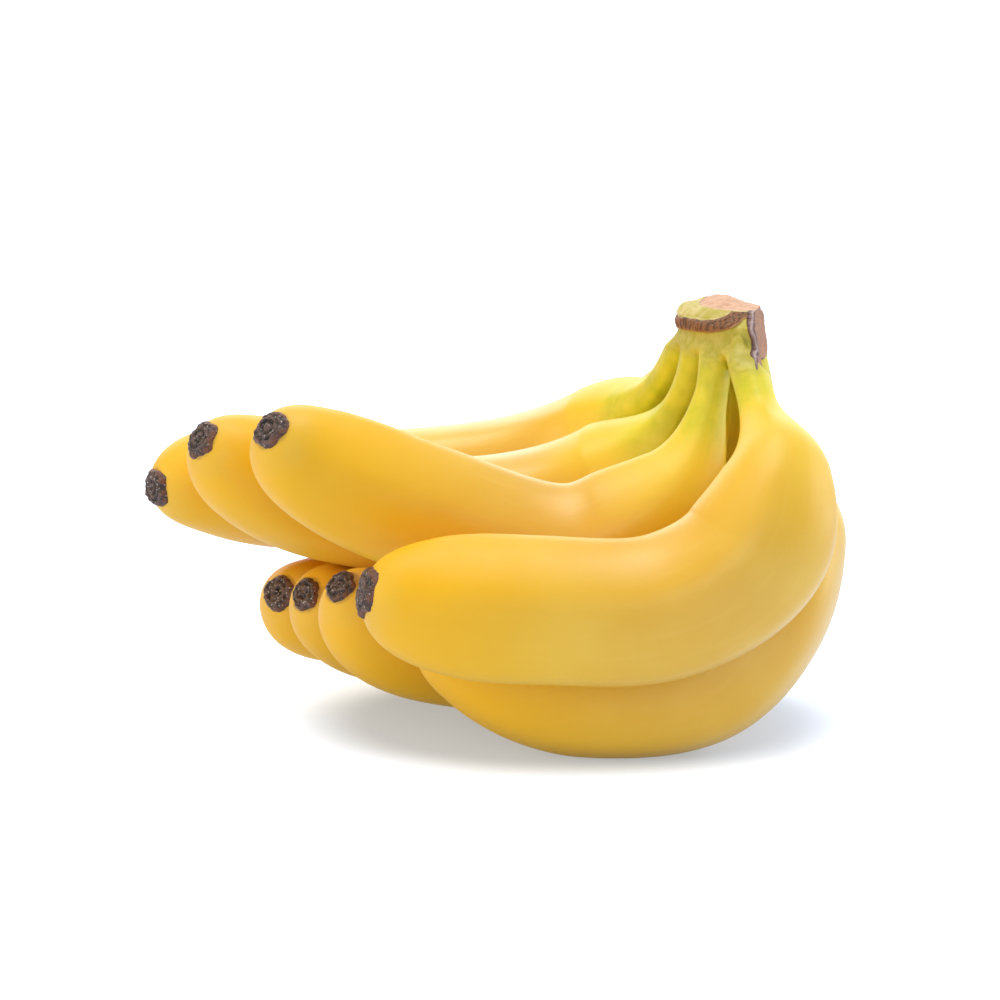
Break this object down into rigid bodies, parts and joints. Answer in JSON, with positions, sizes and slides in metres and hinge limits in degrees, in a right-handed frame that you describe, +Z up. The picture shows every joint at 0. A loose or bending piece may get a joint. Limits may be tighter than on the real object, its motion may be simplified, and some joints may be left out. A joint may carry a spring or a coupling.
{
  "type": "bunch of bananas",
  "caption": "Hand of ripe yellow bananas curving in nested rows from a shared corky crown, with greenish stalks and dried black blossom ends.",
  "frame": {"origin": "middle of the bounding box, on the surface that the hand rests on", "axes": "+X from the fruit tips towards the crown, +Y from the front fruits towards the back ones, +Z up"},
  "size_m": [0.1928, 0.1831, 0.116],
  "materials": {
    "peel": "smooth waxy banana peel, yellow, yellow-green at the stalks",
    "crown_cork": "corky cut crown, tan cut faces, brown ridge, yellow-green shoulders",
    "dried_blossom": "rough, dried, nearly black blossom end with a brown rim"
  },
  "bodies": {
    "root": {"crown": "crown_cork", "banana_upper_1": "peel", "banana_upper_2": "peel", "banana_upper_3": "peel", "banana_upper_4": "peel", "banana_lower_1": "peel", "banana_lower_2": "peel", "banana_lower_3": "peel", "banana_lower_4": "peel", "blossom_end_upper_1": "dried_blossom", "blossom_end_upper_2": "dried_blossom", "blossom_end_upper_3": "dried_blossom", "blossom_end_upper_4": "dried_blossom", "blossom_end_lower_1": "dried_blossom", "blossom_end_lower_2": "dried_blossom", "blossom_end_lower_3": "dried_blossom", "blossom_end_lower_4": "dried_blossom"}
  },
  "joints": []
}
